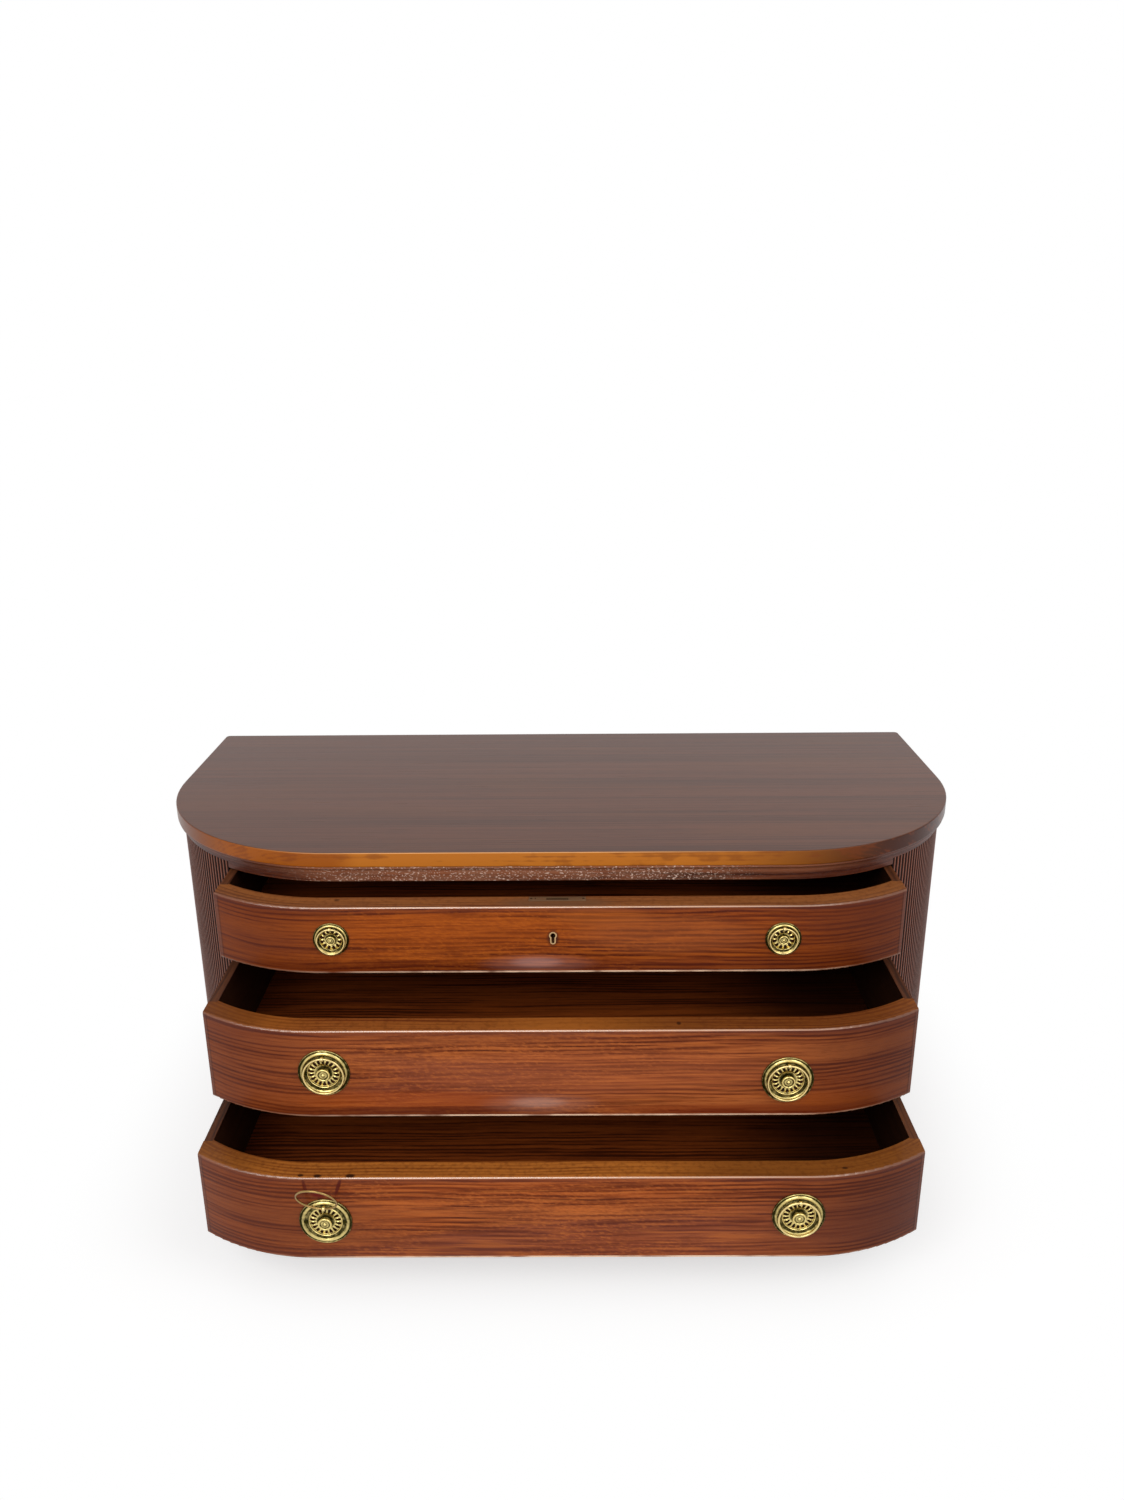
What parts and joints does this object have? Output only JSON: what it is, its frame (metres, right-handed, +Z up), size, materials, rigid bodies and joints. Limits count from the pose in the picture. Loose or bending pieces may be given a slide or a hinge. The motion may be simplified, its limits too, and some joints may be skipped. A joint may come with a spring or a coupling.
{
  "type": "chest of drawers",
  "caption": "Low D-plan mahogany chest with reeded round ends, wide drawers wrapped round the corners and brass ring pulls, shown with its drawers open.",
  "frame": {"origin": "on the floor under the middle of the top, on the underside of the plinth bearer", "axes": "+Z up, -Y out of the front, the way the drawers open, +X to the right as seen from the front"},
  "size_m": [1, 0.6592, 0.46],
  "materials": {
    "polished_top": "polished mahogany",
    "drawer_front": "polished ribbon-striped mahogany",
    "mahogany": "polished mahogany",
    "reeded_mahogany": "polished reeded mahogany",
    "carcass_wood": "plain unpolished wood",
    "drawer_lining": "stained mahogany linings",
    "brass": "lacquered brass",
    "lock_brass": "aged brass",
    "steel": "plain steel"
  },
  "bodies": {
    "carcass": {"back_panel": "carcass_wood", "base_board": "mahogany", "cornice_moulding": "mahogany", "drawer_stops": "carcass_wood", "dust_board_lower": "carcass_wood", "dust_board_upper": "carcass_wood", "frieze_rail": "mahogany", "glue_blocks": "carcass_wood", "guide_panel_left": "carcass_wood", "guide_panel_right": "carcass_wood", "kickers": "carcass_wood", "plinth_back_rail": "carcass_wood", "plinth_band": "mahogany", "plinth_bearer": "carcass_wood", "rail_lower": "mahogany", "rail_upper": "mahogany", "reeded_skin_left": "reeded_mahogany", "reeded_skin_right": "reeded_mahogany", "runners_lower": "carcass_wood", "runners_upper": "carcass_wood", "side_wall_left": "carcass_wood", "side_wall_right": "carcass_wood", "strike_plate": "brass", "top_board": "polished_top", "top_screws": "steel"},
    "drawer_top": {"back_top": "drawer_lining", "bottom_top": "drawer_lining", "front_top": "drawer_front", "handle_bolts_top": "brass", "keyhole_lining": "brass", "lock_case": "lock_brass", "lock_screws": "steel", "plates_top": "brass", "ring_eyes_top": "brass", "side_left_top": "drawer_lining", "side_right_top": "drawer_lining"},
    "drawer_middle": {"back_middle": "drawer_lining", "bottom_middle": "drawer_lining", "front_middle": "drawer_front", "handle_bolts_middle": "brass", "plates_middle": "brass", "ring_eyes_middle": "brass", "side_left_middle": "drawer_lining", "side_right_middle": "drawer_lining"},
    "drawer_bottom": {"back_bottom": "drawer_lining", "bottom_bottom": "drawer_lining", "front_bottom": "drawer_front", "handle_bolts_bottom": "brass", "plates_bottom": "brass", "ring_eyes_bottom": "brass", "side_left_bottom": "drawer_lining", "side_right_bottom": "drawer_lining"},
    "lock_bolt": {"lock_bolt": "steel"},
    "ring_left_bottom": {"ring_left_bottom": "brass"},
    "ring_left_middle": {"ring_left_middle": "brass"},
    "ring_left_top": {"ring_left_top": "brass"},
    "ring_right_bottom": {"ring_right_bottom": "brass"},
    "ring_right_middle": {"ring_right_middle": "brass"},
    "ring_right_top": {"ring_right_top": "brass"}
  },
  "joints": [
    {"name": "drawer_top_slide", "type": "slide", "parent": "carcass", "child": "drawer_top", "axis": [0, -1, 0], "range_m": [-0.064, 0.221]},
    {"name": "ring_left_top_swing", "type": "hinge", "parent": "drawer_top", "child": "ring_left_top", "pos_m": [-0.25305, -0.2769, 0.39526], "axis": [-1, 0, 0], "range_deg": [0, 175]},
    {"name": "ring_right_top_swing", "type": "hinge", "parent": "drawer_top", "child": "ring_right_top", "pos_m": [0.24675, -0.2769, 0.39362], "axis": [-1, 0, 0], "range_deg": [0, 175]},
    {"name": "drawer_middle_slide", "type": "slide", "parent": "carcass", "child": "drawer_middle", "axis": [0, -1, 0], "range_m": [-0.1435, 0.1415]},
    {"name": "ring_left_middle_swing", "type": "hinge", "parent": "drawer_middle", "child": "ring_left_middle", "pos_m": [-0.25344, -0.357, 0.28374], "axis": [-1, 0, 0], "range_deg": [0, 175]},
    {"name": "ring_right_middle_swing", "type": "hinge", "parent": "drawer_middle", "child": "ring_right_middle", "pos_m": [0.24413, -0.357, 0.27294], "axis": [-1, 0, 0], "range_deg": [0, 175]},
    {"name": "drawer_bottom_slide", "type": "slide", "parent": "carcass", "child": "drawer_bottom", "axis": [0, -1, 0], "range_m": [-0.2095, 0.0755]},
    {"name": "ring_left_bottom_swing", "type": "hinge", "parent": "drawer_bottom", "child": "ring_left_bottom", "pos_m": [-0.24832, -0.423, 0.14616], "axis": [-0.9926, 0.0805, -0.0912], "range_deg": [-153.8, 0]},
    {"name": "ring_right_bottom_swing", "type": "hinge", "parent": "drawer_bottom", "child": "ring_right_bottom", "pos_m": [0.25029, -0.423, 0.15138], "axis": [-1, 0, 0], "range_deg": [0, 175]},
    {"name": "lock_bolt_throw", "type": "slide", "parent": "drawer_top", "child": "lock_bolt", "axis": [0, 0, 1], "range_m": [0, 0.008]}
  ]
}
